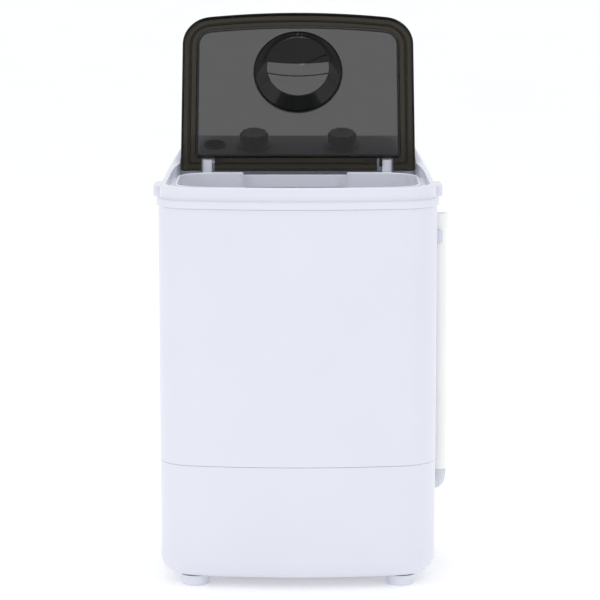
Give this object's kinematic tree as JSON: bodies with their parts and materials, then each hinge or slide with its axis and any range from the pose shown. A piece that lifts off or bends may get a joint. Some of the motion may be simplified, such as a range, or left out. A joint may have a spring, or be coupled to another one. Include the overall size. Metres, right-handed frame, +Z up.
{
  "type": "top load washing machine",
  "caption": "Portable single-tub top-load washer: bowed white casing on feet, smoked hinged lid with a round finger dish, rear knob console, belt-driven pulsator and a side drain hose.",
  "frame": {"origin": "on the floor, under the centre of the machine's overall box with its lid open", "axes": "+X to the right seen from the front, +Y to the rear, away from the user, +Z up"},
  "size_m": [0.4287, 0.384, 0.8041],
  "materials": {
    "white_plastic": "glossy cool white moulded plastic",
    "pale_plastic": "satin pale grey-white moulded plastic",
    "panel_plastic": "satin light grey panel",
    "smoked_plastic": "clear glossy brown-grey smoked plastic",
    "knob_plastic": "glossy mid grey",
    "tub_plastic": "satin off-white polypropylene",
    "steel": "bright zinc-plated steel",
    "motor_iron": "dull laminated iron and painted end shields",
    "aluminium": "cast aluminium",
    "black_plastic": "matt black plastic",
    "rubber": "matt black rubber",
    "hose_plastic": "milky flexible hose plastic",
    "filter_mesh": "fine pale blue mesh"
  },
  "bodies": {
    "cabinet": {"base_casing": "white_plastic", "upper_casing": "white_plastic", "top_frame": "white_plastic", "foot_1": "white_plastic", "foot_2": "white_plastic", "foot_3": "white_plastic", "foot_4": "white_plastic", "hose_clip": "white_plastic", "back_cover": "pale_plastic", "drain_elbow": "pale_plastic", "hinge_pin_left": "pale_plastic", "hinge_pin_right": "pale_plastic", "motor_capacitor": "pale_plastic", "control_panel": "panel_plastic", "wash_tub": "tub_plastic", "back_cover_screw_1": "steel", "back_cover_screw_2": "steel", "back_cover_screw_3": "steel", "back_cover_screw_4": "steel", "upper_bearing": "steel", "lower_bearing": "steel", "motor_bracket": "steel", "motor_body": "motor_iron", "bearing_housing": "aluminium", "bottom_cover": "black_plastic", "cord_gland": "black_plastic", "timer_body": "black_plastic", "mode_switch_body": "black_plastic", "water_inlet_port": "black_plastic", "wiring_harness": "black_plastic", "water_inlet_duct": "rubber", "shaft_seal": "rubber", "drive_belt": "rubber", "drain_pipe": "rubber", "drain_hose": "hose_plastic", "hose_cuff": "hose_plastic"},
    "lid_set": {"lid": "smoked_plastic", "lid_handle": "smoked_plastic"},
    "timer_dial": {"timer_knob": "knob_plastic", "timer_shaft": "steel"},
    "mode_dial": {"mode_knob": "knob_plastic", "mode_shaft": "steel"},
    "pulsator_set": {"pulsator": "pale_plastic", "pulsator_screw": "steel", "pulsator_shaft": "steel", "large_pulley": "aluminium", "pulley_nut": "steel"},
    "motor_rotor": {"motor_shaft": "steel", "motor_pulley": "aluminium"},
    "lint_filter": {"lint_filter_frame": "pale_plastic", "lint_filter_bag": "filter_mesh"}
  },
  "joints": [
    {"name": "lid_hinge", "type": "hinge", "parent": "cabinet", "child": "lid_set", "pos_m": [0, 0.08, 0.587], "axis": [1, 0, 0], "range_deg": [0, 118]},
    {"name": "timer_knob_turn", "type": "hinge", "parent": "cabinet", "child": "timer_dial", "pos_m": [0.066, 0.134, 0.608], "axis": [0, -0.3344, 0.9424], "range_deg": [-330, 0]},
    {"name": "mode_knob_turn", "type": "hinge", "parent": "cabinet", "child": "mode_dial", "pos_m": [-0.066, 0.134, 0.608], "axis": [0, -0.3344, 0.9424], "range_deg": [-45, 45]},
    {"name": "pulsator_spin", "type": "hinge", "parent": "cabinet", "child": "pulsator_set", "pos_m": [0, -0.032, 0.2], "axis": [0, 0, 1], "continuous": true},
    {"name": "motor_spin", "type": "hinge", "parent": "cabinet", "child": "motor_rotor", "pos_m": [0, 0.1, 0.12], "axis": [0, 0, 1], "continuous": true},
    {"name": "lint_filter_slide", "type": "slide", "parent": "cabinet", "child": "lint_filter", "axis": [0, 0, 1], "range_m": [0, 0.05]}
  ],
  "couplings": [
    {"joint": "motor_spin", "follows": "pulsator_spin", "ratio": 3.5641}
  ]
}
